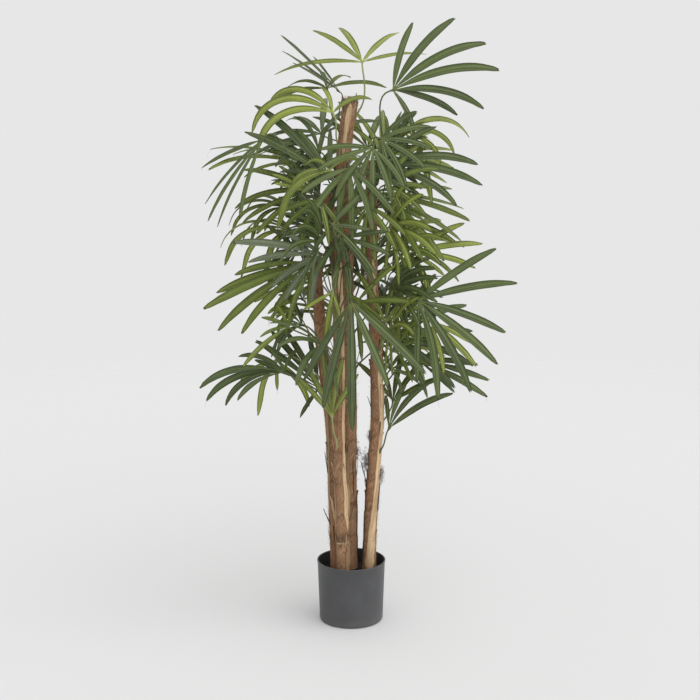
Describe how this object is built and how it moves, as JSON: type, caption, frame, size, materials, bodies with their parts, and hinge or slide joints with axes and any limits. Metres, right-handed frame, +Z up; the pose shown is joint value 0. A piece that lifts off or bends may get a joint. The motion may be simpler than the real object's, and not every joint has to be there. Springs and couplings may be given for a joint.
{
  "type": "artificial lady palm in a round pot",
  "caption": "Artificial lady palm: fibre-wrapped canes with fan fronds of narrow folded leaflets, standing in a round dark grey plastic pot.",
  "frame": {"origin": "middle of the pot's flat underside", "axes": "+Z up along the pot's axis, -Y the side that the picture shows, +X to its right"},
  "size_m": [0.7566, 0.5534, 1.4981],
  "materials": {
    "pot_plastic": "satin",
    "pot_fill": "matte",
    "cane_fibre": "matte",
    "leaf_dark": "satin",
    "leaf_mid": "satin",
    "leaf_light": "satin",
    "leaf_grey": "satin"
  },
  "bodies": {
    "root": {"frond_01": "leaf_light", "frond_02": "leaf_dark", "frond_03": "leaf_light", "frond_04": "leaf_mid", "frond_05": "leaf_dark", "frond_06": "leaf_dark", "frond_07": "leaf_light", "frond_08": "leaf_mid", "frond_09": "leaf_dark", "frond_10": "leaf_dark", "frond_11": "leaf_grey", "frond_12": "leaf_light", "frond_13": "leaf_mid", "frond_14": "leaf_mid", "frond_15": "leaf_mid", "frond_16": "leaf_dark", "frond_17": "leaf_light", "frond_18": "leaf_dark", "frond_19": "leaf_light", "frond_20": "leaf_dark", "frond_21": "leaf_mid", "frond_22": "leaf_dark", "frond_23": "leaf_light", "frond_24": "leaf_light", "frond_25": "leaf_dark", "frond_26": "leaf_mid", "frond_27": "leaf_light", "frond_28": "leaf_mid", "frond_29": "leaf_dark", "frond_30": "leaf_dark", "frond_31": "leaf_light", "frond_32": "leaf_mid", "frond_33": "leaf_dark", "frond_34": "leaf_dark", "frond_35": "leaf_dark", "frond_36": "leaf_mid", "frond_37": "leaf_light", "frond_38": "leaf_dark", "frond_39": "leaf_mid", "frond_40": "leaf_dark", "frond_41": "leaf_light", "frond_42": "leaf_dark", "frond_43": "leaf_mid", "frond_44": "leaf_grey", "frond_45": "leaf_dark", "frond_46": "leaf_mid", "frond_47": "leaf_dark", "frond_48": "leaf_light", "frond_49": "leaf_dark", "pot": "pot_plastic", "pot_fill": "pot_fill", "stem_a": "cane_fibre", "stem_b": "cane_fibre", "stem_c": "cane_fibre", "stem_d": "cane_fibre"}
  },
  "joints": []
}
